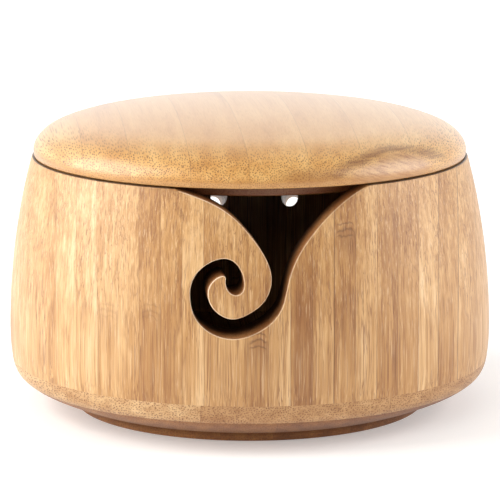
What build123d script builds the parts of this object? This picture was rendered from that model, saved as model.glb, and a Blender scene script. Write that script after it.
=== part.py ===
from build123d import *
import os
from math import sin, cos, radians, sqrt

# Lidded bamboo yarn bowl with a spiral yarn slot.
# Millimetres, +Z up, origin at the centre of the foot's underside, yarn slot at the front (-Y).

# ---------------------------------------------------------------- driving dimensions
FOOT_R = 62.0            # radius of the foot ring
FOOT_H = 2.9             # height of the foot's vertical edge
FOOT_RECESS_R = 50.0     # shallow turned recess under the foot
FOOT_RECESS_H = 1.2
SEAM_LOW_Z = 10.85       # joint between the foot board and the base board
SEAM_LOW_R = 80.8
SEAM_HIGH_Z = 17.5       # joint between the base board and the wall strips
RIM_Z = 88.8             # top of the bowl's wall
RIM_R = 76.6
BORE_R = 67.0            # straight bore of the wall
FLOOR_Z = 17.1           # inside floor, turned just into the base board
COVE_R = 2.5             # cove between the bore and the floor
RIM_EASE = 0.4           # eased outside edge of the rim

STRIP_W = 7.2            # thickness of one bamboo layer of the wall
STRIP_X0 = -0.8          # plane of the joint nearest the middle
STRIPS_LEFT = 9          # bored layers on the left of that joint
STRIPS_RIGHT = 9         # bored layers on the right of it

# outside of the wall, (radius, height), from the lower joint to the rim
WALL_PROFILE = [
    (80.80, 10.85), (83.40, 14.20), (84.45, 18.50), (84.90, 24.00), (85.00, 29.50),
    (84.80, 36.50), (84.40, 43.50), (83.70, 51.10), (82.80, 58.70), (81.60, 66.30),
    (80.20, 73.90), (78.50, 81.50), (76.70, 88.40),
]
# underside of the foot board, from the foot ring to the lower joint
UNDERCUT_PROFILE = [(62.0, 2.9), (67.6, 4.5), (73.6, 6.9), (78.2, 9.1), (80.8, 10.85)]

# lid
LID_GAP = 0.25           # the lid's edge stands this far above the rim
LID_Z = RIM_Z + LID_GAP
LID_EDGE_R = 75.9
LID_PROFILE = [          # dome, from the edge to the crown
    (75.90, 89.45), (76.05, 91.40), (75.55, 93.20), (74.00, 95.50), (71.40, 97.70),
    (67.40, 99.60), (61.70, 101.40), (53.90, 103.00), (43.20, 104.60), (27.40, 106.20),
    (12.00, 107.00), (0.00, 107.20),
]
SPIGOT_R = 66.0          # locating disc under the lid
SPIGOT_H = 4.0
SPIGOT_RECESS_R = 57.0   # the disc is hollowed a little
SPIGOT_RECESS_H = 2.0
LID_SEAM_1 = 92.6        # joints between the lid's three boards
LID_SEAM_2 = 99.2

# yarn slot: drawn on an upright plane square to the cutter, u to the right, v up
SLOT_TURN = 6.0          # the cutter comes in from this many degrees right of the front
SLOT_LEFT = [            # left edge of the mouth, down and round the outside of the hook
    (-36.91, 89.75), (-32.14, 88.55), (-27.34, 87.05), (-20.83, 84.70), (-14.33, 80.78),
    (-8.06, 74.30), (-3.64, 67.80), (-1.57, 62.40), (-1.60, 57.70), (-4.09, 52.50),
    (-9.00, 48.70), (-14.56, 46.95), (-19.09, 48.75), (-21.98, 52.80), (-22.07, 56.90),
    (-20.06, 59.90), (-17.73, 61.20),
]
HOOK_TIP = (-16.71, 61.05)
SLOT_RIGHT = [           # inside of the hook, round the whole channel and up the right edge
    (-16.34, 60.20), (-16.27, 57.60), (-15.23, 55.85), (-13.10, 54.95), (-11.23, 55.85),
    (-10.44, 58.60), (-11.56, 63.10), (-13.92, 65.90), (-16.78, 66.75), (-20.94, 65.55),
    (-25.20, 62.30), (-27.61, 57.80), (-27.93, 52.80), (-26.39, 47.10), (-22.68, 43.05),
    (-17.78, 40.85), (-12.70, 40.55), (-6.94, 42.35), (-1.73, 45.70), (1.85, 50.40),
    (3.60, 56.40), (5.14, 62.00), (8.84, 69.30), (14.60, 76.40), (21.31, 82.45),
    (28.08, 86.75), (35.81, 89.75),
]

# two yarn holes through the back wall, sloping down outwards
YARN_HOLE_R = 3.1
YARN_HOLE_Z = 61.2       # height where the hole's axis leaves the bore
YARN_HOLE_SLOPE = 21.0
YARN_HOLES = [(12.8, 7.0), (-9.9, -9.5)]   # azimuths from the back centre: where the axis leaves the bore, and the axis itself

os.makedirs("parts", exist_ok=True)

# ---------------------------------------------------------------- the turned wall, before it is split into its strips
with BuildPart() as wall_turned:
    with BuildSketch(Plane.XZ) as wall_section:
        with BuildLine():
            outer = Spline(*WALL_PROFILE)
            Line(WALL_PROFILE[-1], (RIM_R - RIM_EASE, RIM_Z))
            Line((RIM_R - RIM_EASE, RIM_Z), (BORE_R, RIM_Z))
            Line((BORE_R, RIM_Z), (BORE_R, FLOOR_Z + COVE_R))
            RadiusArc((BORE_R, FLOOR_Z + COVE_R), (BORE_R - COVE_R, FLOOR_Z), COVE_R)
            Line((BORE_R - COVE_R, FLOOR_Z), (BORE_R - COVE_R, SEAM_LOW_Z))
            Line((BORE_R - COVE_R, SEAM_LOW_Z), (SEAM_LOW_R, SEAM_LOW_Z))
        make_face()
    revolve(axis=Axis.Z)
    split(bisect_by=Plane.XY.offset(SEAM_HIGH_Z), keep=Keep.TOP)
    # spiral slot and mouth
    slot_plane = Plane(
        origin=(0, 0, 0),
        x_dir=(cos(radians(SLOT_TURN)), sin(radians(SLOT_TURN)), 0),
        z_dir=(sin(radians(SLOT_TURN)), -cos(radians(SLOT_TURN)), 0),
    )
    with BuildSketch(slot_plane) as slot_sketch:
        with BuildLine():
            left_edge = Spline(*SLOT_LEFT)
            right_edge = Spline(*SLOT_RIGHT)
            ThreePointArc(SLOT_LEFT[-1], HOOK_TIP, SLOT_RIGHT[0])
            Polyline(SLOT_RIGHT[-1], (SLOT_RIGHT[-1][0], 97.0), (SLOT_LEFT[0][0], 97.0), SLOT_LEFT[0])
        make_face()
    extrude(amount=100, mode=Mode.SUBTRACT)
    # yarn holes
    for mouth_az, axis_az in YARN_HOLES:
        out = (
            sin(radians(axis_az)) * cos(radians(YARN_HOLE_SLOPE)),
            cos(radians(axis_az)) * cos(radians(YARN_HOLE_SLOPE)),
            -sin(radians(YARN_HOLE_SLOPE)),
        )
        start = (BORE_R * sin(radians(mouth_az)), BORE_R * cos(radians(mouth_az)), YARN_HOLE_Z)
        with BuildSketch(Plane(origin=start, z_dir=out)):
            Circle(YARN_HOLE_R)
        extrude(amount=30, both=True, mode=Mode.SUBTRACT)

# ---------------------------------------------------------------- wall strips
BIG = 200.0


def layer(name, x_low, x_high, y_low, y_high):
    """One bamboo layer of the turned wall, between two joint planes."""
    with BuildPart() as strip:
        add(wall_turned.part)
        with BuildSketch(Plane.XY):
            with BuildLine():
                Polyline((x_low, y_low), (x_high, y_low), (x_high, y_high), (x_low, y_high), close=True)
            make_face()
        extrude(amount=120, mode=Mode.INTERSECT)
    strip.part.label = name
    export_step(strip.part, "parts/" + name + ".step")


x_first = STRIP_X0 - STRIPS_LEFT * STRIP_W
for i in range(STRIPS_LEFT + STRIPS_RIGHT):
    x_low = x_first + i * STRIP_W
    layer(f"wall_strip_front_{i + 1:02d}", x_low, x_low + STRIP_W, -BIG, 0.0)
    layer(f"wall_strip_back_{i + 1:02d}", x_low, x_low + STRIP_W, 0.0, BIG)
for i in range(3):
    x_high = x_first - i * STRIP_W
    x_low = x_high - STRIP_W if i < 2 else -BIG
    layer(f"wall_strip_left_{i + 1}", x_low, x_high, -BIG, BIG)
x_last = x_first + (STRIPS_LEFT + STRIPS_RIGHT) * STRIP_W
for i in range(3):
    x_low = x_last + i * STRIP_W
    x_high = x_low + STRIP_W if i < 2 else BIG
    layer(f"wall_strip_right_{i + 1}", x_low, x_high, -BIG, BIG)

# ---------------------------------------------------------------- base board: one layer, with the inside floor turned into it
with BuildPart() as base_board:
    with BuildSketch(Plane.XZ) as base_section:
        with BuildLine():
            outer = Spline(*WALL_PROFILE)
            Line(WALL_PROFILE[-1], (RIM_R - RIM_EASE, RIM_Z))
            Line((RIM_R - RIM_EASE, RIM_Z), (BORE_R, RIM_Z))
            Line((BORE_R, RIM_Z), (BORE_R, FLOOR_Z + COVE_R))
            RadiusArc((BORE_R, FLOOR_Z + COVE_R), (BORE_R - COVE_R, FLOOR_Z), COVE_R)
            Line((BORE_R - COVE_R, FLOOR_Z), (0, FLOOR_Z))
            Line((0, FLOOR_Z), (0, SEAM_LOW_Z))
            Line((0, SEAM_LOW_Z), (SEAM_LOW_R, SEAM_LOW_Z))
        make_face()
    revolve(axis=Axis.Z)
    split(bisect_by=Plane.XY.offset(SEAM_HIGH_Z), keep=Keep.BOTTOM)
base_board.part.label = "base_board"
export_step(base_board.part, "parts/base_board.step")

# ---------------------------------------------------------------- foot board: undercut and foot ring, with a shallow recess underneath
with BuildPart() as foot_board:
    with BuildSketch(Plane.XZ) as foot_section:
        with BuildLine():
            Line((0, SEAM_LOW_Z), (0, FOOT_RECESS_H))
            Line((0, FOOT_RECESS_H), (FOOT_RECESS_R, FOOT_RECESS_H))
            Line((FOOT_RECESS_R, FOOT_RECESS_H), (FOOT_RECESS_R + FOOT_RECESS_H, 0))
            Line((FOOT_RECESS_R + FOOT_RECESS_H, 0), (FOOT_R - 0.5, 0))
            Line((FOOT_R - 0.5, 0), (FOOT_R, 0.5))
            Line((FOOT_R, 0.5), (FOOT_R, FOOT_H))
            under = Spline(*UNDERCUT_PROFILE)
            Line((SEAM_LOW_R, SEAM_LOW_Z), (0, SEAM_LOW_Z))
        make_face()
    revolve(axis=Axis.Z)
foot_board.part.label = "foot_board"
export_step(foot_board.part, "parts/foot_board.step")

# ---------------------------------------------------------------- lid, turned in one piece from three glued boards
with BuildPart() as lid_turned:
    with BuildSketch(Plane.XZ) as lid_section:
        with BuildLine():
            Line((0, LID_Z - SPIGOT_H + SPIGOT_RECESS_H), (SPIGOT_RECESS_R, LID_Z - SPIGOT_H + SPIGOT_RECESS_H))
            Line(
                (SPIGOT_RECESS_R, LID_Z - SPIGOT_H + SPIGOT_RECESS_H),
                (SPIGOT_RECESS_R + SPIGOT_RECESS_H, LID_Z - SPIGOT_H),
            )
            Line((SPIGOT_RECESS_R + SPIGOT_RECESS_H, LID_Z - SPIGOT_H), (SPIGOT_R - 0.6, LID_Z - SPIGOT_H))
            Line((SPIGOT_R - 0.6, LID_Z - SPIGOT_H), (SPIGOT_R, LID_Z - SPIGOT_H + 0.6))
            Line((SPIGOT_R, LID_Z - SPIGOT_H + 0.6), (SPIGOT_R, LID_Z))
            Line((SPIGOT_R, LID_Z), (LID_EDGE_R - 0.4, LID_Z))
            Line((LID_EDGE_R - 0.4, LID_Z), LID_PROFILE[0])
            dome = Spline(*LID_PROFILE, tangents=[(0.1, 1), (-1, 0)], tangent_scalars=[1, 1])
            Line((0, LID_PROFILE[-1][1]), (0, LID_Z - SPIGOT_H + SPIGOT_RECESS_H))
        make_face()
    revolve(axis=Axis.Z)

with BuildPart() as lid_bottom_board:
    add(lid_turned.part)
    split(bisect_by=Plane.XY.offset(LID_SEAM_1), keep=Keep.BOTTOM)
lid_bottom_board.part.label = "lid_bottom_board"
export_step(lid_bottom_board.part, "parts/lid_bottom_board.step")

with BuildPart() as lid_middle_board:
    add(lid_turned.part)
    split(bisect_by=Plane.XY.offset(LID_SEAM_1), keep=Keep.TOP)
    split(bisect_by=Plane.XY.offset(LID_SEAM_2), keep=Keep.BOTTOM)
lid_middle_board.part.label = "lid_middle_board"
export_step(lid_middle_board.part, "parts/lid_middle_board.step")

with BuildPart() as lid_top_board:
    add(lid_turned.part)
    split(bisect_by=Plane.XY.offset(LID_SEAM_2), keep=Keep.TOP)
lid_top_board.part.label = "lid_top_board"
export_step(lid_top_board.part, "parts/lid_top_board.step")
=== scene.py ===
import math

import bpy
import numpy as np
from mathutils import Matrix, Vector
from mathutils.geometry import delaunay_2d_cdt


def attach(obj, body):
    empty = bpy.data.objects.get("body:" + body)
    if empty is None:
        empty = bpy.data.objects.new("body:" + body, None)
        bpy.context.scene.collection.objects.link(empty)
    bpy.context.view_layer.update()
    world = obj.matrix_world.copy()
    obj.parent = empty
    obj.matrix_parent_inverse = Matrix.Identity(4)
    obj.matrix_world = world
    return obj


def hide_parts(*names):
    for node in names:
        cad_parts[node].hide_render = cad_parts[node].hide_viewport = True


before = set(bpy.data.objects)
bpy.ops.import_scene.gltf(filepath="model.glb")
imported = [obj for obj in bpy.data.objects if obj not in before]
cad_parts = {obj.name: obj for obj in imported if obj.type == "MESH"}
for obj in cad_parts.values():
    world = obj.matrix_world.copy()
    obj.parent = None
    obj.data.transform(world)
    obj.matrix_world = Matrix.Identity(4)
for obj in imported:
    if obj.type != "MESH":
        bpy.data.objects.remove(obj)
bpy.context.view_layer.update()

MM = 0.001
# ------------------------------------------------------------------ the turned shapes, in millimetres
SEAM_LOW_Z, SEAM_HIGH_Z, RIM_Z = 10.85, 17.5, 88.8
BORE_R = 67.0
WALL_PROFILE = [(80.80, 10.85), (83.40, 14.20), (84.45, 18.50), (84.90, 24.00), (85.00, 29.50), (84.80, 36.50),
                (84.40, 43.50), (83.70, 51.10), (82.80, 58.70), (81.60, 66.30), (80.20, 73.90), (78.50, 81.50),
                (76.70, 88.40)]
UNDERCUT_PROFILE = [(62.0, 2.9), (67.6, 4.5), (73.6, 6.9), (78.2, 9.1), (80.8, 10.85)]
LID_Z = 89.05
LID_PROFILE = [(75.90, 89.45), (76.05, 91.40), (75.55, 93.20), (74.00, 95.50), (71.40, 97.70), (67.40, 99.60),
               (61.70, 101.40), (53.90, 103.00), (43.20, 104.60), (27.40, 106.20), (12.00, 107.00), (0.00, 107.20)]
LID_SEAMS = (92.6, 99.2)
SLOT_TURN = math.radians(6.0)
SLOT_LEFT = [(-36.91, 89.75), (-32.14, 88.55), (-27.34, 87.05), (-20.83, 84.70), (-14.33, 80.78), (-8.06, 74.30),
             (-3.64, 67.80), (-1.57, 62.40), (-1.60, 57.70), (-4.09, 52.50), (-9.00, 48.70), (-14.56, 46.95),
             (-19.09, 48.75), (-21.98, 52.80), (-22.07, 56.90), (-20.06, 59.90), (-17.73, 61.20)]
HOOK_TIP = (-16.71, 61.05)
SLOT_RIGHT = [(-16.34, 60.20), (-16.27, 57.60), (-15.23, 55.85), (-13.10, 54.95), (-11.23, 55.85), (-10.44, 58.60),
              (-11.56, 63.10), (-13.92, 65.90), (-16.78, 66.75), (-20.94, 65.55), (-25.20, 62.30), (-27.61, 57.80),
              (-27.93, 52.80), (-26.39, 47.10), (-22.68, 43.05), (-17.78, 40.85), (-12.70, 40.55), (-6.94, 42.35),
              (-1.73, 45.70), (1.85, 50.40), (3.60, 56.40), (5.14, 62.00), (8.84, 69.30), (14.60, 76.40),
              (21.31, 82.45), (28.08, 86.75), (35.81, 89.75)]
YARN_HOLES = [(12.8, 7.0), (-9.9, -9.5)]      # azimuths from the back: of the mouth in the bore, of the axis
YARN_HOLE_R, YARN_HOLE_Z, YARN_HOLE_SLOPE = 3.1, 61.2, 21.0


def spline(points, n=40):
    """A smooth (C2) curve through the points, n samples a span."""
    p = np.array(points, float)
    t = np.r_[0, np.cumsum(np.sqrt(np.hypot(*np.diff(p, axis=0).T)) ** 2)]
    h = np.diff(t)
    m = len(p)
    a = np.zeros((m, m))
    b = np.zeros((m, 2))
    a[0, 0:3] = (h[1], -(h[0] + h[1]), h[0])          # not-a-knot ends
    a[-1, -3:] = (h[-1], -(h[-2] + h[-1]), h[-2])
    for i in range(1, m - 1):
        a[i, i - 1:i + 2] = (h[i - 1], 2 * (h[i - 1] + h[i]), h[i])
        b[i] = 6 * ((p[i + 1] - p[i]) / h[i] - (p[i] - p[i - 1]) / h[i - 1])
    s = np.linalg.solve(a, b)
    out = []
    for i in range(m - 1):
        x = np.linspace(0, h[i], n, endpoint=False)[:, None]
        out.append(p[i] + x * ((p[i + 1] - p[i]) / h[i] - h[i] * (2 * s[i] + s[i + 1]) / 6)
                   + x ** 2 * s[i] / 2 + x ** 3 * (s[i + 1] - s[i]) / (6 * h[i]))
    out.append(p[-1:])
    return np.vstack(out)


def even(path, step):
    """The path again with points about step apart."""
    d = np.r_[0, np.cumsum(np.hypot(*np.diff(path, axis=0).T))]
    n = max(int(round(d[-1] / step)), 1)
    s = np.linspace(0, d[-1], n + 1)
    return np.c_[np.interp(s, d, path[:, 0]), np.interp(s, d, path[:, 1])]


WALL = spline(WALL_PROFILE)
WALL = np.vstack([WALL, WALL[-1] + (WALL[-1] - WALL[-2]) / (WALL[-1] - WALL[-2])[1] * 0.6])


def wall_r(z):
    return np.interp(z, WALL[:, 1], WALL[:, 0])


def wall_normal(phi, z):
    dr = (wall_r(z + 0.2) - wall_r(z - 0.2)) / 0.4
    n = np.stack([np.sin(phi), -np.cos(phi), -dr + 0 * phi], -1)
    return n / np.linalg.norm(n, axis=-1, keepdims=True)


# ------------------------------------------------------------------ mesh helpers
def make_object(name, verts, faces, loop_normals=None, smooth=True):
    mesh = bpy.data.meshes.new(name)
    mesh.from_pydata([tuple(v) for v in np.asarray(verts) * MM], [], [tuple(int(i) for i in f) for f in faces])
    mesh.validate()
    mesh.update()
    if smooth:
        mesh.polygons.foreach_set("use_smooth", [True] * len(mesh.polygons))
    if loop_normals is not None:
        mesh.normals_split_custom_set([tuple(n) for n in loop_normals])
    ob = bpy.data.objects.new(name, mesh)
    bpy.context.scene.collection.objects.link(ob)
    return ob


def lathe(name, profile, given=None, segments=288):
    """Turn a closed section (r, z), run from the axis along the bottom, up and back to the axis, about Z. given holds the
    section's normals where they are known; elsewhere it is smooth except at corners over 35 degrees."""
    prof = np.asarray(profile, float)
    n = len(prof)
    seg = np.diff(prof, axis=0)
    seg_n = np.c_[seg[:, 1], -seg[:, 0]] / np.hypot(*seg.T)[:, None]      # outward for a section run anticlockwise
    ang = np.linspace(0, 2 * np.pi, segments, endpoint=False)
    verts, index = [], []
    for i, (r, z) in enumerate(prof):
        if r < 1e-6:
            index.append([len(verts)] * segments)
            verts.append((0, 0, z))
        else:
            index.append(list(range(len(verts), len(verts) + segments)))
            verts += [(r * math.cos(a), r * math.sin(a), z) for a in ang]
    start_n, end_n = seg_n.copy(), seg_n.copy()
    for i in range(1, n - 1):
        if seg_n[i - 1] @ seg_n[i] > math.cos(math.radians(35)):
            w0, w1 = np.hypot(*seg[i - 1]), np.hypot(*seg[i])
            m = seg_n[i - 1] / max(w0, 1e-6) + seg_n[i] / max(w1, 1e-6)
            m /= np.linalg.norm(m)
            end_n[i - 1] = start_n[i] = m
    if given is not None:
        known = ~np.isnan(given).any(1)
        for i in range(n - 1):
            if known[i] and known[i + 1]:
                start_n[i], end_n[i] = given[i], given[i + 1]
    for i in (0, n - 2):
        if prof[0 if i == 0 else -1][0] < 1e-6:
            pole = np.array([0, 1.0 if seg_n[i][1] > 0 else -1.0])
            if abs(seg_n[i][1]) > 0.9:
                if i == 0:
                    start_n[0] = pole
                else:
                    end_n[-1] = pole
    faces, normals = [], []
    for i in range(n - 1):
        for k in range(segments):
            k2 = (k + 1) % segments
            quad = [(index[i][k], ang[k], start_n[i]), (index[i][k2], ang[k] + 2 * np.pi / segments, start_n[i]),
                    (index[i + 1][k2], ang[k] + 2 * np.pi / segments, end_n[i]), (index[i + 1][k], ang[k], end_n[i])]
            seen, keep = set(), []
            for q in quad:
                if q[0] not in seen:
                    seen.add(q[0])
                    keep.append(q)
            faces.append([q[0] for q in keep])
            normals += [(q[2][0] * math.cos(q[1]), q[2][0] * math.sin(q[1]), q[2][1]) for q in keep]
    return make_object(name, verts, faces, normals)


# ------------------------------------------------------------------ the wall: outside, bore, rim, slot and yarn holes as one closed skin
U = np.array([math.cos(SLOT_TURN), math.sin(SLOT_TURN), 0.0])
W = np.array([math.sin(SLOT_TURN), -math.cos(SLOT_TURN), 0.0])
EASE_OUT, EASE_IN, STEPS = 0.55, 0.35, 4


def slot_path():
    left, right = spline(SLOT_LEFT), spline(SLOT_RIGHT)
    a, b, c = np.array(SLOT_LEFT[-1]), np.array(HOOK_TIP), np.array(SLOT_RIGHT[0])
    d = 2 * (a[0] * (b[1] - c[1]) + b[0] * (c[1] - a[1]) + c[0] * (a[1] - b[1]))
    ctr = np.array([((a @ a) * (b[1] - c[1]) + (b @ b) * (c[1] - a[1]) + (c @ c) * (a[1] - b[1])) / d,
                    ((a @ a) * (c[0] - b[0]) + (b @ b) * (a[0] - c[0]) + (c @ c) * (b[0] - a[0])) / d])
    t0, t1 = (math.atan2(*(q - ctr)[::-1]) for q in (a, c))
    if t1 > t0:
        t1 -= 2 * math.pi
    rad = np.linalg.norm(a - ctr)
    arc = np.array([ctr + rad * np.array([math.cos(t), math.sin(t)]) for t in np.linspace(t0, t1, 14)[1:-1]])
    path = np.vstack([left, arc, right])
    i0 = np.where(path[:len(left), 1] < RIM_Z)[0][0]
    i1 = len(path) - 1 - np.where(path[::-1][:len(right), 1] < RIM_Z)[0][0]
    p0 = path[i0 - 1] + (path[i0] - path[i0 - 1]) * (path[i0 - 1][1] - RIM_Z) / (path[i0 - 1][1] - path[i0][1])
    p1 = path[i1] + (path[i1 + 1] - path[i1]) * (RIM_Z - path[i1][1]) / (path[i1 + 1][1] - path[i1][1])
    return even(np.vstack([p0, path[i0:i1 + 1], p1]), 0.42)


def point_out(u, v, depth):
    """A point of the slot's wall at (u, v), this deep from the outside."""
    w = np.sqrt(wall_r(v) ** 2 - u ** 2)
    return np.outer(u, U) + np.outer(w - depth, W) + np.outer(v, (0, 0, 1))


def point_in(u, v, depth):
    w = np.sqrt(BORE_R ** 2 - u ** 2)
    return np.outer(u, U) + np.outer(w + depth, W) + np.outer(v, (0, 0, 1))


def band(outer, inner, void, n_out, n_in, middle=5):
    """Rows of points across the wall's thickness, eased at both ends. outer(off, depth) and inner(off, depth) give points,
    void the direction out of the material, n_out and n_in the surfaces' normals."""
    rows, normals = [], []
    for k in range(STEPS + 1):
        t = math.pi / 2 * k / STEPS
        rows.append(outer(EASE_OUT * (1 - math.sin(t)), EASE_OUT * (1 - math.cos(t))))
        normals.append(math.cos(t) * n_out + math.sin(t) * void)
    tail, tail_n = [], []
    for k in range(STEPS + 1):
        t = math.pi / 2 * k / STEPS
        tail.append(inner(EASE_IN * (1 - math.sin(t)), EASE_IN * (1 - math.cos(t))))
        tail_n.append(math.cos(t) * n_in + math.sin(t) * void)
    for k in range(1, middle):
        rows.append(rows[STEPS] + (tail[-1] - rows[STEPS]) * k / middle)
        normals.append(void)
    rows += tail[::-1]
    normals += tail_n[::-1]
    normals = [x / np.linalg.norm(x, axis=1, keepdims=True) for x in normals]
    return np.array(rows), np.array(normals)


def inside(pts, poly):
    """Which points lie in a closed polygon."""
    hit = np.zeros(len(pts), bool)
    x, y = pts[:, 0], pts[:, 1]
    for (x0, y0), (x1, y1) in zip(poly, np.roll(poly, -1, axis=0)):
        if y0 == y1:
            continue
        c = (y0 > y) != (y1 > y)
        hit ^= c & (x < (x1 - x0) * (y - y0) / (y1 - y0) + x0)
    return hit


def skin(border, holes, place, grid, fine_near):
    """Triangles over a flat domain. border and holes are lists of (id, x, y). Returns the triangles by id, with new ids
    from place.
    """
    pts, ids, edges = [], [], []
    for loop in [border] + holes:
        base = len(pts)
        for i, x, y in loop:
            ids.append(i)
            pts.append((x, y))
        edges += [(base + k, base + (k + 1) % len(loop)) for k in range(len(loop))]
    rim = np.array(pts)
    lo, hi = rim.min(0), rim.max(0)

    def hexes(step):
        ys = np.arange(lo[1] + step * 0.6, hi[1] - step * 0.4, step * 0.866)
        return np.array([(x + (step / 2 if k % 2 else 0), y) for k, y in enumerate(ys)
                         for x in np.arange(lo[0] + step * 0.6, hi[0] - step * 0.4, step)])

    def nearest(q, to):
        out = np.full(len(q), 1e9)
        for k in range(0, len(to), 200):
            out = np.minimum(out, np.sqrt(((q[:, None] - to[None, k:k + 200]) ** 2).sum(2)).min(1))
        return out

    border_xy = np.array([(x, y) for _, x, y in border])
    near = np.array(fine_near)
    chosen = []
    taken = rim
    for step, reach in ((0.8, 2.0), (1.4, 5.0), (grid, 1e9)):
        q = hexes(step)
        d = nearest(q, near)
        q = q[(d < reach)]
        q = q[inside(q, border_xy)]
        for h in holes:
            q = q[~inside(q, np.array([(x, y) for _, x, y in h]))]
        q = q[nearest(q, taken) > step * 0.72]
        chosen.append(q)
        taken = np.vstack([taken, q])
    new = np.vstack(chosen)
    coords = [Vector(p) for p in np.vstack([rim, new])]
    out_v, _, out_f, orig, _, _ = delaunay_2d_cdt(coords, edges, [], 0, 1e-6)
    xy = np.array([tuple(v) for v in out_v])
    tri = np.array([f for f in out_f])
    c = xy[tri].mean(1)
    keep = inside(c, border_xy)
    for h in holes:
        keep &= ~inside(c, np.array([(x, y) for _, x, y in h]))
    tri = tri[keep]
    used = np.unique(tri)
    lookup = {}
    for v in used:
        src = orig[v][0]
        lookup[v] = ids[src] if src < len(ids) else place(xy[v])
    return [[lookup[v] for v in t] for t in tri]


def build_wall():
    verts, faces, normals = [], [], []
    vert_normal = {}

    def add(points, nrm):
        ids = list(range(len(verts), len(verts) + len(points)))
        for i, p, q in zip(ids, points, nrm):
            verts.append(tuple(p))
            vert_normal[i] = q
        return ids

    path = slot_path()
    d = np.gradient(path, axis=0)
    d /= np.linalg.norm(d, axis=1, keepdims=True)
    mat = np.c_[d[:, 1], -d[:, 0]]
    u, v = path.T
    phi_out = lambda uu, vv: SLOT_TURN + np.arcsin(uu / wall_r(vv))
    phi_in = lambda uu: SLOT_TURN + np.arcsin(uu / BORE_R)
    # columns of the rim on both sides of the mouth; their azimuths differ a little outside and inside near the mouth
    fo0, fo1 = phi_out(u[0], v[0]), phi_out(u[-1], v[-1])
    fi0, fi1 = phi_in(u[0]), phi_in(u[-1])
    t = np.linspace(0, 1, 110)[:-1]
    left_o, left_i = -np.pi + (fo0 + np.pi) * t, -np.pi + (fi0 + np.pi) * t
    t = np.linspace(0, 1, 110)[1:]
    right_o, right_i = fo1 + (np.pi - fo1) * t, fi1 + (np.pi - fi1) * t

    def rim_band(fo, fi):
        def outer(off, depth):
            z = RIM_Z - off
            r = wall_r(z) - depth
            return np.stack([r * np.sin(fo), -r * np.cos(fo), z + 0 * fo], -1)

        def inner(off, depth):
            r = BORE_R + depth
            return np.stack([r * np.sin(fi), -r * np.cos(fi), RIM_Z - off + 0 * fi], -1)

        return band(outer, inner, np.tile((0, 0, 1.0), (len(fo), 1)), wall_normal(fo, RIM_Z - 0.6),
                    np.stack([-np.sin(fi), np.cos(fi), 0 * fi], -1))

    def slot_band():
        # the offset runs along the path's normal
        def at(off):
            return u + mat[:, 0] * off, v + mat[:, 1] * off

        void = -(np.outer(mat[:, 0], U) + np.outer(mat[:, 1], (0, 0, 1)))
        return band(lambda off, dep: point_out(*at(off), dep), lambda off, dep: point_in(*at(off), dep), void,
                    wall_normal(phi_out(u, v), v), -point_in(u, v, 0) / BORE_R * (1, 1, 0))

    b0, n0 = rim_band(left_o, left_i)
    b1, n1 = slot_band()
    b2, n2 = rim_band(right_o, right_i)
    rows, row_n = np.concatenate([b0, b1, b2], 1), np.concatenate([n0, n1, n2], 1)
    m, cols = rows.shape[:2]
    grid = [add(rows[k], row_n[k]) for k in range(m)]
    # close the ring at the back: the last column is the first
    for k in range(m):
        grid[k][-1] = grid[k][0]
    for k in range(m - 1):
        for c in range(cols - 1):
            faces.append([grid[k][c], grid[k][c + 1], grid[k + 1][c + 1], grid[k + 1][c]])

    # yarn holes
    hole_loops_out, hole_loops_in, hole_xy = [], [], []
    rad = YARN_HOLE_R
    for mouth_az, axis_az in YARN_HOLES:
        a, b = math.radians(mouth_az), math.radians(axis_az)
        s = math.radians(YARN_HOLE_SLOPE)
        axis = np.array([math.sin(b) * math.cos(s), math.cos(b) * math.cos(s), -math.sin(s)])
        origin = np.array([BORE_R * math.sin(a), BORE_R * math.cos(a), YARN_HOLE_Z])
        side = np.cross(axis, (0, 0, 1))
        side /= np.linalg.norm(side)
        up = np.cross(side, axis)
        psi = np.linspace(0, 2 * np.pi, 56, endpoint=False)
        ring = np.outer(np.cos(psi), side) + np.outer(np.sin(psi), up)

        def cross(off, radius_at):
            base = origin + ring * (rad + off)
            lo, hi = np.full(len(psi), -12.0), np.full(len(psi), 40.0)
            for _ in range(40):
                mid = (lo + hi) / 2
                q = base + mid[:, None] * axis
                out = np.hypot(q[:, 0], q[:, 1]) > radius_at(q[:, 2])
                hi, lo = np.where(out, mid, hi), np.where(out, lo, mid)
            return base + lo[:, None] * axis

        outer = lambda off, dep: cross(off, wall_r) - dep * axis
        inner = lambda off, dep: cross(off, lambda z: BORE_R + 0 * z) + dep * axis
        q = cross(0, wall_r)
        qi = cross(0, lambda z: BORE_R + 0 * z)
        rws, rn = band(outer, inner, -ring, wall_normal(np.arctan2(q[:, 0], -q[:, 1]), q[:, 2]), -qi / BORE_R * (1, 1, 0))
        g = [add(rws[k], rn[k]) for k in range(len(rws))]
        for k in range(len(rws) - 1):
            for c in range(len(psi)):
                c2 = (c + 1) % len(psi)
                faces.append([g[k][c], g[k][c2], g[k + 1][c2], g[k + 1][c]])
        hole_loops_out.append((g[0], rws[0]))
        hole_loops_in.append((g[-1], rws[-1]))

    # both skins are unrolled with the cut at the front-to-back azimuth of +-180 degrees
    bottom_phi = np.linspace(-np.pi, np.pi, 241)

    def flat(r0):
        return lambda p: (r0 * np.arctan2(p[0], -p[1]), p[2])

    cove = [(BORE_R, 19.6)] + [(64.5 + 2.5 * math.cos(x), 19.6 - 2.5 * math.sin(x)) for x in np.linspace(0.15, 0.9973, 6)]
    cut_shift = 0.0

    def make_skin(r0, row_ids, row_pts, holes, z_low, place3d, nrm3d, seam_n):
        border, near = [], []
        top = []
        for i, p in zip(row_ids, row_pts):
            x, y = flat(r0)(p)
            top.append([i, x, y])
        top[0][1] = -r0 * np.pi
        top[-1][1] = r0 * np.pi
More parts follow.
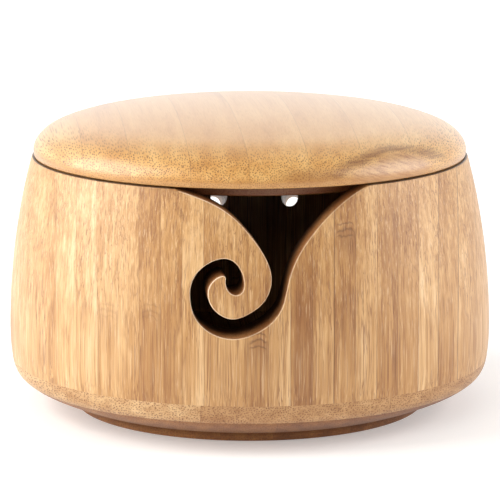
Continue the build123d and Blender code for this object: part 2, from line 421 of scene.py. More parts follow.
        # seam columns: the same ids at both ends
        zs = np.linspace(z_low, top[0][2], seam_n)[1:-1]
        low_ids = add([place3d(-r0 * np.pi if k == 0 else r0 * f, z_low) for k, f in enumerate(bottom_phi[:-1])],
                      [nrm3d(r0 * f, z_low) for f in bottom_phi[:-1]])
        seam_ids = add([place3d(-r0 * np.pi, z) for z in zs], [nrm3d(-r0 * np.pi, z) for z in zs])
        border += [(low_ids[k % 240], r0 * f, z_low) for k, f in enumerate(bottom_phi)]
        border += [(i, r0 * np.pi, z) for i, z in zip(seam_ids, zs)]
        border += [tuple(x) for x in top[::-1]]
        border += [(i, -r0 * np.pi, z) for i, z in list(zip(seam_ids, zs))[::-1]]
        loops = []
        for ids, pts in holes:
            q = []
            for i, p in zip(ids, pts):
                x, y = flat(r0)(p)
                q.append((i, x, y))
            # a hole on one side of the seam
            loops.append(q)
            near += [(x, y) for _, x, y in q]
        near += [(x, y) for _, x, y in top if y < 87.8]

        def place(xy):
            return add([place3d(xy[0], xy[1])], [nrm3d(xy[0], xy[1])])[0]

        for tri in skin(border, loops, place, 2.4, near):
            faces.append(tri)
        return low_ids

    def out3d(x, z):
        f = x / 80.0
        r = wall_r(z)
        return (r * math.sin(f), -r * math.cos(f), z)

    def out_n(x, z):
        return wall_normal(np.array([x / 80.0]), z)[0]

    def in3d(x, z):
        f = x / BORE_R
        return (BORE_R * math.sin(f), -BORE_R * math.cos(f), z)

    def in_n(x, z):
        f = x / BORE_R
        return np.array((-math.sin(f), math.cos(f), 0))

    row0 = [grid[0][c] for c in range(cols)]
    rowm = [grid[-1][c] for c in range(cols)]
    low_out = make_skin(80.0, row0, rows[0], hole_loops_out, SEAM_HIGH_Z, out3d, out_n, 30)
    low_in = make_skin(BORE_R, rowm, rows[-1], hole_loops_in, 19.6, in3d, in_n, 30)

    # cove at the foot of the bore, then the underside
    prev = low_in
    for k, (r, z) in enumerate(cove[1:]):
        f = bottom_phi[:-1]
        tilt = np.linspace(0.15, 0.9973, 6)[k]
        nn = np.stack([-np.sin(f) * math.cos(tilt), np.cos(f) * math.cos(tilt), 0 * f + math.sin(tilt)], -1)
        cur = add(np.stack([r * np.sin(f), -r * np.cos(f), z + 0 * f], -1), nn)
        for c in range(240):
            faces.append([prev[c], prev[(c + 1) % 240], cur[(c + 1) % 240], cur[c]])
        prev = cur
    n_smooth = len(faces)
    for c in range(240):
        faces.append([prev[c], prev[(c + 1) % 240], low_out[(c + 1) % 240], low_out[c]])

    vs = np.array(verts)
    out_faces, loop_n = [], []
    for k, f in enumerate(faces):
        g = [f[0]]
        for i in f[1:]:
            if i != g[-1] and i != f[0]:
                g.append(i)
        if len(g) < 3:
            continue
        a, b, c = vs[g[0]], vs[g[1]], vs[g[2]]
        geo = np.cross(b - a, c - a)
        want = sum(vert_normal[i] for i in g) if k < n_smooth else np.array((0, 0, -1.0))
        if geo @ want < 0:
            g = g[::-1]
        out_faces.append(g)
        for i in g:
            loop_n.append(vert_normal[i] if k < n_smooth else (0, 0, -1.0))
    used = sorted({i for f in out_faces for i in f})
    remap = {o: n for n, o in enumerate(used)}
    return make_object("wall_turned", vs[used], [[remap[i] for i in f] for f in out_faces], loop_n)


wall_nodes = [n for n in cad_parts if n.startswith("wall_strip_")]
wall = build_wall()
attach(wall, "bowl")
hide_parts(*wall_nodes)

# ------------------------------------------------------------------ base, foot and lid boards, turned to the same lines as the wall
def curve_normals(curve):
    """Outward section normals of a curve run upwards."""
    d = np.gradient(curve, axis=0)
    n = np.c_[d[:, 1], -d[:, 0]]
    return n / np.linalg.norm(n, axis=1, keepdims=True)


def cut(curve, z_low, z_high):
    """The part of a rising curve between two heights, ends exact, with its normals."""
    n = curve_normals(curve)
    keep = (curve[:, 1] > z_low + 1e-4) & (curve[:, 1] < z_high - 1e-4)
    pts, nrm = [], []
    for z in ([z_low], [z_high]):
        k = np.interp(z[0], curve[:, 1], np.arange(len(curve)))
        i = min(int(k), len(curve) - 2)
        f = k - i
        pts.append(curve[i] * (1 - f) + curve[i + 1] * f)
        nrm.append(n[i] * (1 - f) + n[i + 1] * f)
    p = np.vstack([pts[0], curve[keep], pts[1]])
    q = np.vstack([nrm[0], n[keep], nrm[1]])
    return p, q


def section(*parts):
    """Joins plain points and (points, normals) runs into one list for lathe."""
    pts, nrm = [], []
    for part in parts:
        if isinstance(part, tuple) and isinstance(part[0], np.ndarray):
            p, q = part
        else:
            p = np.array(part, float).reshape(-1, 2)
            q = np.full(p.shape, np.nan)
        if pts and np.allclose(pts[-1][-1], p[0], atol=1e-6):
            p, q = p[1:], q[1:]
        pts.append(p)
        nrm.append(q)
    return np.vstack(pts), np.vstack(nrm)


def arc(cr, cz, rad, a0, a1, n=7):
    """A fillet in the section, with its normals; angles in degrees from +r."""
    t = np.radians(np.linspace(a0, a1, n))
    s = 1.0 if a1 > a0 else -1.0
    return np.c_[cr + rad * np.cos(t), cz + rad * np.sin(t)], s * np.c_[np.cos(t), np.sin(t)]


UNDER = spline(UNDERCUT_PROFILE, 24)
DOME = spline(LID_PROFILE + [(-r, z) for r, z in LID_PROFILE[-2:-5:-1]], 24)
DOME = DOME[DOME[:, 0] > -1e-6]
DOME[-1] = (0.0, LID_PROFILE[-1][1])
dome_n = curve_normals(DOME)
dome_n[-1] = (0, 1)


def dome(z_low, z_high):
    if z_high is None:
        k = DOME[:, 1] > z_low + 1e-4
        lo, nlo = cut(DOME, z_low, 106.0)
        return np.vstack([lo[:1], DOME[k]]), np.vstack([nlo[:1], dome_n[k]])
    return cut(DOME, z_low, z_high)


cove_r = 64.5 + math.sqrt(2.5 ** 2 - (19.6 - SEAM_HIGH_Z) ** 2)
cove_run = arc(64.5, 19.6, 2.5, -math.degrees(math.acos((cove_r - 64.5) / 2.5)), -90, 6)
base = lathe("base_turned", *section([(0, SEAM_LOW_Z)], cut(WALL, SEAM_LOW_Z, SEAM_HIGH_Z), [(cove_r, SEAM_HIGH_Z)],
                                     cove_run, [(0, 17.1)]))
foot = lathe("foot_turned", *section([(0, 1.2)], [(49.6, 1.2)], arc(49.6, 0.8, 0.4, 90, 45, 4),
                                     arc(51.6, 0.6, 0.6, 225, 270, 5), arc(61.4, 0.6, 0.6, 270, 360, 7),
                                     cut(UNDER, 2.9, SEAM_LOW_Z), [(0, SEAM_LOW_Z)]))
lid_bottom = lathe("lid_bottom_turned", *section([(0, 87.05)], [(56.8, 87.05)], [(58.7, 85.25)],
                                                 arc(59.3, 85.55, 0.5, 210, 270, 5), arc(65.4, 85.65, 0.6, 270, 360, 7),
                                                 [(66.0, 88.85)], [(66.2, LID_Z)], arc(75.35, 89.6, 0.55, 270, 355, 8),
                                                 dome(89.65, LID_SEAMS[0]), [(0, LID_SEAMS[0])]))
lid_middle = lathe("lid_middle_turned", *section([(0, LID_SEAMS[0])], dome(*LID_SEAMS), [(0, LID_SEAMS[1])]))
lid_top = lathe("lid_top_turned", *section([(0, LID_SEAMS[1])], dome(LID_SEAMS[1], None)))
for piece, node, body, slot in ((base, "base_board", "bowl", "base_bamboo"), (foot, "foot_board", "bowl", "foot_bamboo"),
                                (lid_bottom, "lid_bottom_board", "lid", "lid_bamboo"),
                                (lid_middle, "lid_middle_board", "lid", "lid_bamboo"),
                                (lid_top, "lid_top_board", "lid", "lid_bamboo")):
    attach(piece, body)
    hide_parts(node)


# ------------------------------------------------------------------ materials
def rgb(r, g, b):
    """An 8-bit display colour as a linear one."""
    f = lambda c: c / 12.92 if c <= 0.04045 else ((c + 0.055) / 1.055) ** 2.4
    return (f(r / 255), f(g / 255), f(b / 255), 1.0)


class Graph:
    """Short names for the shader nodes of one material."""

    def __init__(self, name):
        self.mat = bpy.data.materials.new(name)
        self.mat.use_nodes = True
        self.tree = self.mat.node_tree
        self.tree.nodes.clear()

    def new(self, kind, **props):
        n = self.tree.nodes.new(kind)
        for k, v in props.items():
            setattr(n, k, v)
        return n

    def put(self, socket, value):
        if isinstance(value, bpy.types.NodeSocket):
            self.tree.links.new(value, socket)
        else:
            socket.default_value = value

    def math(self, op, a, b=None, c=None, clamp=False):
        n = self.new("ShaderNodeMath", operation=op, use_clamp=clamp)
        for s, v in zip(n.inputs, (a, b, c)):
            if v is not None:
                self.put(s, v)
        return n.outputs[0]

    def add(self, a, b):
        return self.math("ADD", a, b)

    def sub(self, a, b):
        return self.math("SUBTRACT", a, b)

    def mul(self, a, b, clamp=False):
        return self.math("MULTIPLY", a, b, clamp=clamp)

    def mad(self, a, b, c):
        return self.math("MULTIPLY_ADD", a, b, c)

    def step(self, x, lo, hi, out_lo=0.0, out_hi=1.0):
        n = self.new("ShaderNodeMapRange", interpolation_type="SMOOTHSTEP", clamp=True)
        for s, v in zip(n.inputs, (x, lo, hi, out_lo, out_hi)):
            self.put(s, v)
        return n.outputs[0]

    def xyz(self, x, y, z):
        n = self.new("ShaderNodeCombineXYZ")
        for s, v in zip(n.inputs, (x, y, z)):
            self.put(s, v)
        return n.outputs[0]

    def noise(self, vec, detail=2.0, rough=0.5, scale=1.0, dims="3D"):
        n = self.new("ShaderNodeTexNoise", noise_dimensions=dims)
        self.put(n.inputs["Vector"], vec)
        n.inputs["Scale"].default_value = scale
        n.inputs["Detail"].default_value = detail
        n.inputs["Roughness"].default_value = rough
        return n.outputs[0]

    def white(self, w):
        n = self.new("ShaderNodeTexWhiteNoise", noise_dimensions="1D")
        self.put(n.inputs["W"], w)
        return n.outputs[0]

    def mix(self, fac, a, b, blend="MIX"):
        n = self.new("ShaderNodeMix", data_type="RGBA", blend_type=blend)
        self.put(n.inputs[0], fac)
        self.put(n.inputs[6], a)
        self.put(n.inputs[7], b)
        return n.outputs[2]

    def table(self, t, rows):
        """A lookup of rows by t in 0..1; each row is up to three numbers."""
        n = self.new("ShaderNodeValToRGB")
        ramp = n.color_ramp
        ramp.interpolation = "CONSTANT"
        while len(ramp.elements) < len(rows):
            ramp.elements.new(0.5)
        for k, row in enumerate(rows):
            ramp.elements[k].position = k / len(rows)
            ramp.elements[k].color = (*row, 1.0)
        self.put(n.inputs[0], t)
        s = self.new("ShaderNodeSeparateColor")
        self.put(s.inputs[0], n.outputs[0])
        return s.outputs

    def ramp(self, t, stops):
        n = self.new("ShaderNodeValToRGB")
        ramp = n.color_ramp
        while len(ramp.elements) < len(stops):
            ramp.elements.new(0.5)
        for k, (pos, colour) in enumerate(stops):
            ramp.elements[k].position = pos
            ramp.elements[k].color = colour
        self.put(n.inputs[0], t)
        return n.outputs[0]

    def table_r(self, z, depth):
        """The wall's outside radius at a height, less a depth."""
        n = self.new("ShaderNodeFloatCurve")
        curve = n.mapping.curves[0]
        heights = list(np.linspace(37.0, RIM_Z, 19))
        pts = [(h / 100.0, float(wall_r(h)) / 100.0) for h in heights]
        curve.points[0].location, curve.points[1].location = pts[0], pts[-1]
        for q in pts[1:-1]:
            curve.points.new(*q)
        for q in curve.points:
            q.handle_type = "VECTOR"
        n.mapping.update()
        self.put(n.inputs["Value"], self.mul(z, 0.01))
        return self.sub(self.mul(n.outputs[0], 100.0), depth)

    def coords(self):
        """Millimetres in the row frame."""
        tc = self.new("ShaderNodeTexCoord")
        sc = self.new("ShaderNodeVectorMath", operation="SCALE")
        self.put(sc.inputs[0], tc.outputs["Object"])
        sc.inputs[3].default_value = 1000.0
        sp = self.new("ShaderNodeSeparateXYZ")
        self.put(sp.inputs[0], sc.outputs[0])
        return sp.outputs[0], sp.outputs[1], sp.outputs[2]

    def bundles(self, a, b, cell, size, soft):
        """The bamboo's fibre bundles: cores running along the third axis, seen as dots or lines. Returns core strength and a number for each bundle."""
        v = self.new("ShaderNodeTexVoronoi", voronoi_dimensions="2D", feature="F1")
        self.put(v.inputs["Vector"], self.xyz(self.mul(a, 1 / cell), self.mul(b, 1 / cell), 0.0))
        v.inputs["Scale"].default_value = 1.0
        v.inputs["Randomness"].default_value = 0.85
        s = self.new("ShaderNodeSeparateColor")
        self.put(s.inputs[0], v.outputs["Color"])
        core = self.step(v.outputs["Distance"], self.add(size, soft), self.sub(size, soft))
        return core, s.outputs[0]

    def finish(self, colour, rough, height, strength, coat=0.0, coat_rough=0.2, specular=0.5, distance=0.0004):
        bump = self.new("ShaderNodeBump")
        bump.inputs["Strength"].default_value = strength
        bump.inputs["Distance"].default_value = distance
        self.put(bump.inputs["Height"], height)
        b = self.new("ShaderNodeBsdfPrincipled")
        self.put(b.inputs["Base Color"], colour)
        self.put(b.inputs["Roughness"], rough)
        b.inputs["Specular IOR Level"].default_value = specular
        self.put(b.inputs["Coat Weight"], coat)
        b.inputs["Coat Roughness"].default_value = coat_rough
        self.put(b.inputs["Normal"], bump.outputs[0])
        out = self.new("ShaderNodeOutputMaterial")
        self.put(out.inputs[0], b.outputs[0])
        return self.mat


# tone of each upright layer, left to right, the height of its culm node (hundredths), and how dense its bundles are
FRONT_LAYERS = [(.70, 0, .4), (.70, 0, .5), (.65, 0, .3), (.75, 0, .5), (.70, 0, .4), (.60, .46, .5), (.65, 0, .4),
                (.45, .475, .7), (.50, 0, .6), (.70, 0, .4), (.56, .93, .8), (.60, 0, .5), (.50, .39, .6), (.68, 0, .4),
                (.38, 0, .7), (.55, 0, .5), (.45, .74, .8), (.66, 0, .4), (.45, 0, .6), (.55, 0, .5), (.70, 0, .3),
                (.50, 0, .7), (.60, 0, .5), (.65, 0, .4)]
# strength of the glue line at the left of each layer, and at the right of the last
FRONT_JOINTS = [0, .1, .15, .2, .15, .2, .15, .2, .35, .3, .3, .15, .35, .3, .5, .3, .85, .35, .4, .3, .35, .7, .85, .3, 0]
BACK_LAYERS = [(.65, 0, .4), (.55, 0, .5), (.70, .33, .3), (.45, 0, .7), (.60, 0, .5), (.75, 0, .4), (.50, 0, .6),
               (.65, .63, .5), (.40, 0, .8), (.60, 0, .5), (.72, 0, .4), (.50, .27, .6), (.62, 0, .5), (.42, 0, .7),
               (.68, 0, .4), (.56, .71, .6), (.48, 0, .7), (.70, 0, .4), (.58, 0, .5), (.44, .42, .8), (.66, 0, .4),
               (.52, 0, .6), (.70, 0, .4), (.60, 0, .5)]


def wall_material():
    g = Graph("wall_bamboo_mat")
    x, y, z = g.coords()
    slow = g.noise(g.xyz(g.mul(x, 0.03), g.mul(y, 0.03), g.mul(z, 0.012)), 2)
    a = g.add(x, g.mad(slow, 0.5, -0.25))
    k = g.math("FLOOR", g.mul(g.add(a, 87.2), 1 / 7.2))
    s = g.math("FRACT", g.mul(g.add(a, 87.2), 1 / 7.2))
    t = g.mul(g.add(k, 0.5), 1 / 24)
    back = g.math("GREATER_THAN", y, 0.0)
    front_t = g.table(t, FRONT_LAYERS)
    back_t = g.table(t, BACK_LAYERS)
    pick = lambda n: g.add(g.mul(front_t[n], g.sub(1.0, back)), g.mul(back_t[n], back))
    tone, node_z, dense = pick(0), g.mul(pick(1), 100.0), pick(2)
    key = g.add(k, g.mul(back, 40.0))
    rnd = g.white(g.mad(key, 1.37, 0.31))
    flip = g.white(g.mad(key, 2.11, 4.7))
    grade = g.add(g.mul(s, flip), g.mul(g.sub(1.0, s), g.sub(1.0, flip)))

    # fibres wander a little along their length
    wander = g.mad(g.noise(g.xyz(g.mul(x, 0.08), g.mul(y, 0.08), g.mad(z, 0.022, rnd)), 2), 1.6, -0.8)
    fx, fy = g.add(x, wander), g.add(g.add(y, wander), g.mul(key, 3.7))
    core, each = g.bundles(fx, g.mul(fy, 0.6), 0.8, g.mad(dense, 0.16, g.mad(grade, 0.12, 0.10)), 0.10)
    fade = g.step(g.noise(g.xyz(g.mul(fx, 0.5), g.mul(fy, 0.5), g.mul(z, 0.05)), 2), 0.36, 0.6)
    core = g.mul(core, g.mul(g.mad(each, 0.7, 0.3), g.mad(fade, 0.7, 0.3)))
    fine = g.noise(g.xyz(g.mul(fx, 2.6), g.mul(fy, 1.3), g.mul(z, 0.05)), 4, 0.65)
    band_n = g.noise(g.xyz(g.mul(fx, 0.7), g.mul(fy, 0.3), g.mul(z, 0.012)), 3, 0.6)
    cloud = g.noise(g.xyz(g.mul(x, 0.05), g.mul(y, 0.05), g.mad(z, 0.04, rnd)), 2)

    level = g.add(tone, g.mad(band_n, 0.9, -0.45))
    level = g.add(level, g.mad(cloud, 0.5, -0.25))
    level = g.sub(level, g.mad(grade, 0.16, -0.08))
    colour = g.ramp(level, WALL_RAMP)
    colour = g.mix(g.mul(core, 0.55), colour, WALL_CORE)
    colour = g.mix(g.step(fine, 0.53, 0.70, 0.0, 0.5), colour, WALL_FINE)
    colour = g.mix(g.step(fine, 0.47, 0.30, 0.0, 0.38), colour, WALL_PALE)

    # long hair-fine veins
    vein = g.noise(g.xyz(g.mul(fx, 0.85), g.mul(fy, 0.45), g.mad(z, 0.011, g.mul(rnd, 9.0))), 3, 0.6)
    vein = g.step(g.math("ABSOLUTE", g.sub(vein, 0.5)), 0.030, 0.006)
    patchy = g.noise(g.xyz(g.mul(x, 0.12), g.mul(y, 0.12), g.mul(z, 0.025)), 2)
    colour = g.mix(g.mul(vein, g.step(patchy, 0.35, 0.65, 0.18, 0.6)), colour, WALL_CORE)

    # culm nodes: a few curved lines across one layer, and a darker stretch below them
    mid = g.sub(g.mul(s, 2.0), 1.0)
    dz = g.sub(g.sub(z, node_z), g.mad(g.mul(mid, mid), -1.5, 1.3))
    dz = g.add(dz, g.mad(g.noise(g.xyz(g.mul(x, 0.45), g.mul(y, 0.45), g.mul(z, 0.35)), 2), 3.0, -1.5))
    has = g.math("GREATER_THAN", node_z, 1.0)
    lines = g.math("POWER", g.mad(g.math("COSINE", g.mul(dz, 3.1)), 0.5, 0.5), 2.5)
    lines = g.mul(lines, g.mul(g.step(dz, -3.6, -1.6), g.step(dz, 4.4, 1.8)))
    below = g.mul(g.step(dz, 1.5, -0.6), g.step(dz, -15.0, -1.0))
    has = g.mul(has, g.step(x, -38.0, -18.0, 0.25, 1.0))
    ridge = g.mul(has, g.mul(lines, g.step(g.math("ABSOLUTE", mid), 0.95, 0.55)))
    colour = g.mix(g.mul(g.mul(has, below), g.mad(g.step(band_n, 0.4, 0.62), 0.42, 0.12)), colour, WALL_DARK)
    colour = g.mix(g.mul(ridge, g.mad(g.step(patchy, 0.3, 0.7), 0.2, 0.42)), colour, WALL_LINE)

    # glue lines between the layers, each with its own strength
    near = g.math("MINIMUM", s, g.sub(1.0, s))
    joint_key = g.math("FLOOR", g.mul(g.add(a, 90.8), 1 / 7.2))
    joint_w = g.table(g.mul(g.add(joint_key, 0.5), 1 / 25), [(q, 0, 0) for q in FRONT_JOINTS])[0]
    joint_b = g.math("POWER", g.white(g.mad(joint_key, 3.3, 0.77)), 1.6)
    joint_w = g.add(g.mul(joint_w, g.sub(1.0, back)), g.mul(joint_b, back))
    joint = g.mul(g.step(near, 0.03, 0.006), g.mad(joint_w, 0.75, 0.04))
    colour = g.mix(joint, colour, WALL_LINE)

    # the slot's eased edges get a painted highlight; its cut faces are browner, and painted darker inwards as shade
    # deep in the slot; the rim's outer lip gets painted shade where it meets the lid
    radius = g.math("SQRT", g.add(g.mul(x, x), g.mul(y, y)))
    depth = g.sub(g.table_r(z, 0.0), radius)
    front = g.mul(g.sub(1.0, back), g.step(z, 37.5, 38.5))
    cut_face = g.mul(front, g.mul(g.step(depth, 0.25, 0.6), g.step(radius, BORE_R - 0.2, BORE_R + 0.1)))
    cut_face = g.mul(cut_face, g.step(z, RIM_Z - 0.3, RIM_Z - 1.2))
    colour = g.mix(g.mul(cut_face, 0.5), colour, WALL_CUT)
    # painted shade: the cut faces darken towards black deeper into the slot, where little light reaches
    colour = g.mix(g.mul(cut_face, g.step(depth, 1.8, 12.5, 0.0, 0.97)), colour, WALL_SHADE)
    # painted highlight: a pale line along the slot's eased outer edges, stronger on the left, the lit side
    edge = g.mul(front, g.mul(g.step(depth, 0.03, 0.14), g.step(depth, 0.6, 0.38)))
    edge = g.mul(edge, g.step(z, RIM_Z - 0.5, RIM_Z - 1.5))
    colour = g.mix(g.mul(edge, g.step(x, -9.0, -1.0, 0.62, 0.3)), colour, WALL_EDGE_HIGHLIGHT)
    # painted shade: a dark line on the rim's outer lip, in the joint under the lid
    colour = g.mix(g.mul(g.step(z, RIM_Z - 0.30, RIM_Z - 0.08), g.step(radius, 75.2, 75.9, 0.0, 0.9)), colour, WALL_SHADE)

    height = g.add(g.mul(fine, 0.5), g.mul(core, -0.55))
    height = g.sub(height, g.add(g.mul(joint, 0.5), g.mul(ridge, 0.6)))
    rough = g.add(g.mad(fine, 0.16, 0.34), g.mul(core, 0.12))
    return g.finish(colour, rough, height, 0.35, coat=0.25, coat_rough=0.42, specular=0.45)


def board_material(name, turn, ramp, core_colour, fine_colour, pale, strips, cell, size, core_mix, rough_base, coat,
                   coat_rough, specular, extra=None, bump=0.3):
    """Flat-laid bamboo with its fibres along a horizontal line turned from the front-to-back direction."""
    g = Graph(name)
    x0, y0, z = g.coords()
    c, sn = math.cos(math.radians(turn)), math.sin(math.radians(turn))
    x = g.add(g.mul(x0, c), g.mul(y0, sn))
    y = g.sub(g.mul(y0, c), g.mul(x0, sn))
    slow = g.noise(g.xyz(g.mul(x, 0.02), g.mul(y, 0.008), g.mul(z, 0.03)), 2)
    a = g.add(x, g.mad(slow, 1.2, -0.6))
    edges, tones = strips
    count = len(tones)
    # which strip: steps added up at each edge
    key = None
    near = None
    for e in edges:
        over = g.math("GREATER_THAN", a, e)
        key = over if key is None else g.add(key, over)
        d = g.math("ABSOLUTE", g.sub(a, e))
        near = d if near is None else g.math("MINIMUM", near, d)
    tone = g.table(g.mul(g.add(key, 0.5), 1 / count), [(q, 0, 0) for q in tones])[0]
    wander = g.mad(g.noise(g.xyz(g.mul(x, 0.08), g.mul(y, 0.022), g.mul(z, 0.08)), 2), 1.4, -0.7)
    fx, fz = g.add(x, wander), g.add(g.add(z, wander), g.mul(key, 2.9))
    core, each = g.bundles(fx, fz, cell, size, 0.07)
    fade = g.step(g.noise(g.xyz(g.mul(fx, 0.3), g.mul(y, 0.03), g.mul(fz, 0.3)), 2), 0.3, 0.55)
    core = g.mul(core, g.mul(g.mad(each, 0.45, 0.55), g.mad(fade, 0.45, 0.55)))
    if extra:
        core = g.mul(core, g.step(z, 96.5, 103.5, 1.0, 0.16))       # the bundles surface where the board is turned away
    fine = g.noise(g.xyz(g.mul(fx, 3.0), g.mul(y, 0.10), g.mul(fz, 3.0)), 3, 0.6)
    band_n = g.noise(g.xyz(g.mul(fx, 0.22), g.mul(y, 0.012), g.mul(fz, 0.3)), 3, 0.55)
    cloud = g.noise(g.xyz(g.mul(x, 0.03), g.mul(y, 0.02), g.mul(z, 0.05)), 2)
    level = g.add(tone, g.mad(band_n, 0.8, -0.4))
    level = g.add(level, g.mad(cloud, 0.4, -0.2))
    colour = g.ramp(level, ramp)
    colour = g.mix(g.mul(core, core_mix), colour, core_colour)
    colour = g.mix(g.step(fine, 0.56, 0.74, 0.0, 0.3), colour, fine_colour)
    colour = g.mix(g.step(fine, 0.44, 0.26, 0.0, 0.25), colour, pale)
    colour = g.mix(g.step(near, 0.16, 0.04, 0.0, 0.4), colour, core_colour)
    if extra:
        colour = extra(g, colour, x0, y0, z, fine, core)
        coat = g.step(z, 89.0, 89.6, 0.0, coat)                     # the finish stops at the lip
    height = g.add(g.mul(fine, 0.5), g.mul(core, -0.5))
    rough = g.add(g.mad(fine, 0.12, rough_base), g.mul(core, 0.08))
    return g.finish(colour, rough, height, bump, coat=coat, coat_rough=coat_rough, specular=specular)


WALL_RAMP = [(0.0, rgb(122, 75, 40)), (0.25, rgb(152, 103, 56)), (0.5, rgb(182, 135, 81)), (0.75, rgb(206, 163, 110)),
             (1.0, rgb(227, 192, 146))]
# painted shade colour for the slot's depths and the rim's outer lip
WALL_SHADE = rgb(34, 16, 8)
WALL_CUT = rgb(166, 100, 58)
# painted highlight colour for the slot's eased edges
WALL_EDGE_HIGHLIGHT = rgb(252, 232, 202)
WALL_CORE = rgb(120, 72, 40)
WALL_FINE = rgb(146, 94, 52)
WALL_PALE = rgb(240, 210, 170)
WALL_DARK = rgb(116, 68, 36)
WALL_LINE = rgb(88, 50, 27)
LID_RAMP = [(0.0, rgb(138, 84, 30)), (0.3, rgb(176, 120, 54)), (0.55, rgb(205, 152, 82)), (0.8, rgb(220, 174, 106)),
            (1.0, rgb(232, 194, 132))]


def lid_patch(g, colour, x0, y0, z, fine, core):
    """Where the turning cuts through into a paler lamination at the right of the front edge, ringed by brown, and an
    amber band just above the lower edge."""
    az = g.math("ARCTAN2", x0, g.mul(y0, -1.0))
    colour = g.mix(g.step(z, 97.5, 105.0, 0.0, 0.4), colour, rgb(172, 124, 74))
    u = g.mul(g.sub(az, math.radians(40.0)), 1 / math.radians(18.0))
    v = g.mul(g.sub(z, 92.6), 1 / 5.6)
    # the outline sags to the left
    v = g.add(v, g.mul(g.math("MINIMUM", u, 0.0), -0.35))
    wob = g.mad(g.noise(g.xyz(g.mul(x0, 0.09), g.mul(y0, 0.09), g.mul(z, 0.15)), 3), 0.5, -0.25)
    d = g.add(g.math("SQRT", g.add(g.mul(u, u), g.mul(v, v))), wob)
    streak = g.noise(g.xyz(g.mul(g.add(x0, g.mul(z, 2.2)), 0.5), g.mul(y0, 0.12), g.mul(z, 0.6)), 3, 0.6)
    pale = g.mix(g.step(streak, 0.40, 0.70), rgb(190, 146, 98), rgb(146, 94, 54))
    colour = g.mix(g.step(d, 0.96, 0.62, 0.0, 0.8), colour, pale)
    ring = g.mul(g.step(d, 0.74, 0.98), g.step(d, 1.42, 1.04))
    ring = g.mul(ring, g.step(v, -0.3, 0.5, 0.0, 1.0))
    streaks = g.noise(g.xyz(g.mul(az, 3.0), g.mul(z, 1.3), 0.0), 3, 0.6)
    colour = g.mix(g.mul(ring, g.mad(g.step(streaks, 0.35, 0.62), 0.42, 0.34)), colour, rgb(116, 66, 20))
    # a browner stretch to the left of it
    bu = g.mul(g.sub(az, math.radians(15.0)), 1 / math.radians(9.0))
    bv = g.mul(g.sub(z, 92.4), 1 / 3.4)
    blob = g.step(g.add(g.math("SQRT", g.add(g.mul(bu, bu), g.mul(bv, bv))), wob), 1.25, 0.25)
    colour = g.mix(g.mul(blob, 0.5), colour, rgb(134, 76, 22))
    low = g.mul(g.step(z, 92.6, 91.0), g.step(z, 88.0, 89.0))
    colour = g.mix(g.mul(low, 0.5), colour, rgb(170, 112, 38))
    # the lip above the joint and the side of the spigot are painted darker as shade in the joint
    rr = g.math("SQRT", g.add(g.mul(x0, x0), g.mul(y0, y0)))
    lip = g.mul(g.step(rr, 75.15, 75.4), g.step(z, 89.42, 89.2))
    side = g.mul(g.mul(g.step(rr, 65.2, 65.6), g.step(rr, 66.9, 66.5)), g.step(z, 89.3, 89.0))
    colour = g.mix(g.mul(side, 0.84), colour, rgb(92, 34, 12))
    return g.mix(g.mul(lip, 0.85), colour, rgb(56, 26, 10))


wall.data.materials.append(wall_material())
base.data.materials.append(board_material(
    "base_bamboo_mat", 4.0,
    [(0.0, rgb(134, 90, 52)), (0.3, rgb(160, 114, 70)), (0.55, rgb(184, 141, 94)), (0.8, rgb(206, 169, 122)), (1.0, rgb(224, 191, 147))],
    rgb(112, 66, 36), rgb(140, 90, 54), rgb(238, 208, 168), ([-66, -22, 42.5], [.7, .66, .47, .44]), 0.82, 0.28, 0.85, 0.36, 0.1, 0.35, 0.4))
# the foot board's tones run darker than the base's: partly its own darker bamboo, partly painted shade on the undercut
# and foot beneath the bowl
foot.data.materials.append(board_material(
    "foot_bamboo_mat", 4.0,
    [(0.0, rgb(100, 58, 26)), (0.3, rgb(130, 80, 38)), (0.55, rgb(154, 102, 52)), (0.8, rgb(176, 126, 74)), (1.0, rgb(196, 150, 98))],
    rgb(92, 52, 28), rgb(112, 68, 38), rgb(206, 160, 114), ([-58, -14, 4, 31], [.52, .46, .44, .3, .22]), 0.82, 0.26, 0.6, 0.4, 0.06, 0.4, 0.4))
lid_args = dict(core_mix=0.88, rough_base=0.36, coat=0.85, coat_rough=0.3, specular=0.5)
lid_strips = ([-61, -46, -27, -8, 12, 31, 50], [.62, .60, .65, .60, .66, .62, .70, .66])
LID_MAT = board_material("lid_bamboo_mat", 6.0, LID_RAMP, rgb(100, 52, 10), rgb(150, 92, 28), rgb(246, 216, 152), lid_strips,
                         0.72, 0.27, extra=lid_patch, **lid_args)
for piece in (lid_bottom, lid_middle, lid_top):
    piece.data.materials.append(LID_MAT)

# ------------------------------------------------------------------ floor, light, camera
floor_mesh = bpy.data.meshes.new("floor")
n_floor = 96
ring_r = [0.0, 0.3, 1.0, 3.0, 12.0]
fv, ff = [(0, 0, 0)], []
for r in ring_r[1:]:
    fv += [(r * math.cos(2 * math.pi * k / n_floor), r * math.sin(2 * math.pi * k / n_floor), 0) for k in range(n_floor)]
for k in range(n_floor):
    k2 = (k + 1) % n_floor
    ff.append((0, 1 + k, 1 + k2))
    for j in range(len(ring_r) - 2):
        a0, a1 = 1 + j * n_floor, 1 + (j + 1) * n_floor
        ff.append((a0 + k, a1 + k, a1 + k2, a0 + k2))
floor_mesh.from_pydata(fv, [], ff)
floor = bpy.data.objects.new("floor", floor_mesh)
bpy.context.scene.collection.objects.link(floor)
floor.location.z = -0.0002
g = Graph("floor_mat")
fx, fy, fz = g.coords()
fb = g.new("ShaderNodeBsdfPrincipled")
g.put(fb.inputs["Base Color"], g.mix(g.noise(g.xyz(g.mul(fx, 0.004), g.mul(fy, 0.004), 0.0), 2), (0.78, 0.78, 0.78, 1), (0.82, 0.82, 0.82, 1)))
fb.inputs["Roughness"].default_value = 0.9
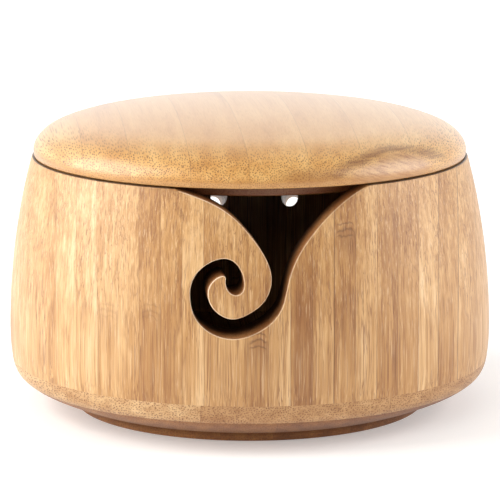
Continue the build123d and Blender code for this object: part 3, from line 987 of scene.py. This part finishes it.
fb.inputs["Specular IOR Level"].default_value = 0.1
fb.inputs["Emission Color"].default_value = (1, 1, 1, 1)
g.put(fb.inputs["Emission Strength"], g.step(g.math("SQRT", g.add(g.mul(fx, fx), g.mul(fy, fy))), 200.0, 1200.0, 0.3, 0.66))
g.put(g.new("ShaderNodeOutputMaterial").inputs[0], fb.outputs[0])
floor_mesh.materials.append(g.mat)

world = bpy.data.worlds.new("studio")
bpy.context.scene.world = world
world.use_nodes = True
wt = world.node_tree
wt.nodes.clear()
tc = wt.nodes.new("ShaderNodeTexCoord")
sp = wt.nodes.new("ShaderNodeSeparateXYZ")
mr = wt.nodes.new("ShaderNodeMapRange")
mr.interpolation_type = "SMOOTHSTEP"
for s_, v_ in zip(mr.inputs[1:5], (-0.9, 0.3, 0.16, 0.95)):
    s_.default_value = v_
lp = wt.nodes.new("ShaderNodeLightPath")
mx = wt.nodes.new("ShaderNodeMix")
bg = wt.nodes.new("ShaderNodeBackground")
wo = wt.nodes.new("ShaderNodeOutputWorld")
wt.links.new(tc.outputs["Generated"], sp.inputs[0])
wt.links.new(sp.outputs[1], mr.inputs[0])
wt.links.new(lp.outputs["Is Camera Ray"], mx.inputs[0])
up = wt.nodes.new("ShaderNodeMapRange")
up.interpolation_type = "SMOOTHSTEP"
for s_, v_ in zip(up.inputs[1:5], (0.25, 0.9, 1.0, 0.5)):
    s_.default_value = v_
both = wt.nodes.new("ShaderNodeMath")
both.operation = "MULTIPLY"
wt.links.new(sp.outputs[2], up.inputs[0])
wt.links.new(mr.outputs[0], both.inputs[0])
wt.links.new(up.outputs[0], both.inputs[1])
behind = wt.nodes.new("ShaderNodeMapRange")
behind.interpolation_type = "SMOOTHSTEP"
for s_, v_ in zip(behind.inputs[1:5], (0.7, 0.95, 0.0, 0.5)):
    s_.default_value = v_
total = wt.nodes.new("ShaderNodeMath")
total.operation = "ADD"
wt.links.new(sp.outputs[1], behind.inputs[0])
wt.links.new(both.outputs[0], total.inputs[0])
wt.links.new(behind.outputs[0], total.inputs[1])
wt.links.new(total.outputs[0], mx.inputs[2])
mx.inputs[3].default_value = 1.0
wt.links.new(mx.outputs[0], bg.inputs["Strength"])
bg.inputs["Color"].default_value = (1, 1, 1, 1)
wt.links.new(bg.outputs[0], wo.inputs[0])


def area(name, at, target, size, power, colour=(1, 1, 1)):
    light = bpy.data.lights.new(name, "AREA")
    light.shape = "RECTANGLE"
    light.size, light.size_y = size
    light.energy = power
    light.color = colour
    ob = bpy.data.objects.new(name, light)
    bpy.context.scene.collection.objects.link(ob)
    ob.location = at
    ob.rotation_euler = (Vector(target) - Vector(at)).to_track_quat("-Z", "Y").to_euler()
    return ob


area("soft_left", (-0.98, -0.12, 0.56), (0, 0, 0.05), (1.0, 1.0), 15.5, (1.0, 0.97, 0.93))
area("soft_right", (1.0, -0.1, 0.5), (0, 0, 0.05), (0.9, 0.9), 8.6, (1.0, 0.97, 0.95))
soft_front = area("soft_front", (-0.35, -1.15, 0.75), (0, 0, 0.05), (1.0, 0.7), 5.6, (1.0, 0.98, 0.95))
soft_front.visible_glossy = False

scene = bpy.context.scene
scene.view_settings.view_transform = "Standard"
scene.view_settings.look = "None"
scene.view_settings.exposure = 0.0
scene.view_settings.gamma = 1.0

cam_data = bpy.data.cameras.new("camera")
cam_data.sensor_width = 36.0
cam_data.lens = 233.9
cam_data.clip_start, cam_data.clip_end = 0.05, 50.0
cam_data.shift_x, cam_data.shift_y = 0.0005, 0.0074
cam = bpy.data.objects.new("camera", cam_data)
scene.collection.objects.link(cam)
cam.location = (0.0, -1.13023, 0.27531)
cam.rotation_euler = (Vector((0, 0, 0.0526)) - cam.location).to_track_quat("-Z", "Y").to_euler()
scene.camera = cam

bpy.context.view_layer.update()
